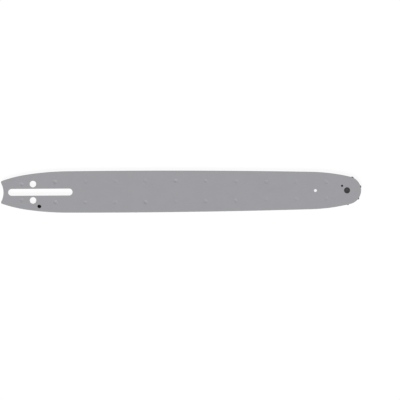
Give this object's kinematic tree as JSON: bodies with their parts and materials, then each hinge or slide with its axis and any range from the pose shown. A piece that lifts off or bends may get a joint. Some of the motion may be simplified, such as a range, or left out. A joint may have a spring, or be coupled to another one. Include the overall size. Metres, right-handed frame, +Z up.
{
  "type": "chainsaw guide bar",
  "caption": "Long flat laminated guide bar with a clamp slot and tensioner holes at the tail, a chain groove round its edge and a toothed sprocket on rollers in its round nose.",
  "frame": {"origin": "centre of the clamp slot, on the lower face that the bar lies on", "axes": "+X along the bar to the nose, +Z up out of the flat face, Y across the bar"},
  "size_m": [0.4585, 0.0532, 0.0041],
  "materials": {
    "satin_grey_paint": "satin grey paint over hardened steel",
    "core_steel": "thinly painted steel at the bottom of the groove",
    "sprocket_steel": "dark hardened steel",
    "rivet_steel": "dark, bare pressed steel",
    "bearing_steel": "ground bearing steel under grease"
  },
  "bodies": {
    "bar": {"upper_side_plate": "satin_grey_paint", "lower_side_plate": "satin_grey_paint", "core_plate": "core_steel", "inner_race": "bearing_steel", "nose_rivet": "rivet_steel"},
    "sprocket": {"nose_sprocket": "sprocket_steel"},
    "rollers": {"bearing_roller_01": "bearing_steel", "bearing_roller_02": "bearing_steel", "bearing_roller_03": "bearing_steel", "bearing_roller_04": "bearing_steel", "bearing_roller_05": "bearing_steel", "bearing_roller_06": "bearing_steel", "bearing_roller_07": "bearing_steel", "bearing_roller_08": "bearing_steel", "bearing_roller_09": "bearing_steel", "bearing_roller_10": "bearing_steel", "bearing_roller_11": "bearing_steel", "bearing_roller_12": "bearing_steel", "bearing_roller_13": "bearing_steel", "bearing_roller_14": "bearing_steel", "bearing_roller_15": "bearing_steel", "bearing_roller_16": "bearing_steel", "bearing_roller_17": "bearing_steel", "bearing_roller_18": "bearing_steel"}
  },
  "joints": [
    {"name": "sprocket_spin", "type": "hinge", "parent": "bar", "child": "sprocket", "pos_m": [0.3902, 0, 0.00202], "axis": [0, 0, 1], "continuous": true},
    {"name": "roller_orbit", "type": "hinge", "parent": "bar", "child": "rollers", "pos_m": [0.3902, 0, 0.00202], "axis": [0, 0, 1], "continuous": true}
  ],
  "couplings": [
    {"joint": "roller_orbit", "follows": "sprocket_spin", "ratio": 0.5847}
  ]
}
